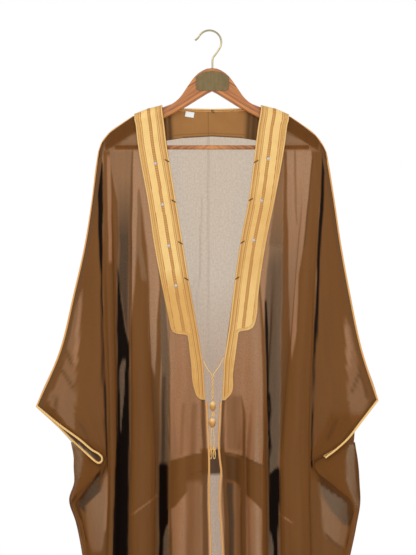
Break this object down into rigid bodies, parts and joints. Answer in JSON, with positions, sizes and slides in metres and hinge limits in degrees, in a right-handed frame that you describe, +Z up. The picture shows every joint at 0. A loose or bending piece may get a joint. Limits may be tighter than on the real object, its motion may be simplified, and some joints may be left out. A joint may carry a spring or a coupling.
{
  "type": "bisht cloak on a hanger",
  "caption": "Sheer brown open-front bisht cloak with wide sleeves, gold bands, gold piping and a tasselled tie, hanging on a wooden hanger.",
  "frame": {"origin": "inner top of the hanger's hook, where a rail holds it", "axes": "+Z up, the front faces -Y, +X to the viewer's right"},
  "size_m": [0.696, 0.1362, 1.5739],
  "materials": {
    "cloth": "sheer plain weave, soft matte with a slight sheen",
    "facing": "opaque brown plain weave",
    "gold": "metallic gold thread, braided and couched",
    "label": "plain white woven tape",
    "wood": "clear varnish on reddish wood",
    "brass": "pale brass wire, satin",
    "bronze": "aged bronze plate, satin"
  },
  "bodies": {
    "root": {"back": "cloth", "front_left": "cloth", "front_right": "cloth", "neck_facing": "facing", "label": "label", "band_left": "gold", "band_right": "gold", "neck_cord": "gold", "shoulder_piping_left": "gold", "shoulder_piping_right": "gold", "cuff_front_piping_left": "gold", "cuff_front_piping_right": "gold", "cuff_back_piping_left": "gold", "cuff_back_piping_right": "gold", "edge_piping_left": "gold", "edge_piping_right": "gold", "tie_left": "gold", "tie_right": "gold", "bead_upper": "gold", "bead_lower": "gold", "knot_middle": "gold", "strand_left": "gold", "strand_right": "gold", "tassel_end_left": "gold", "tassel_end_right": "gold", "hanger": "wood", "hanger_bar": "wood", "hanger_hook": "brass", "hanger_plate": "bronze"}
  },
  "joints": []
}
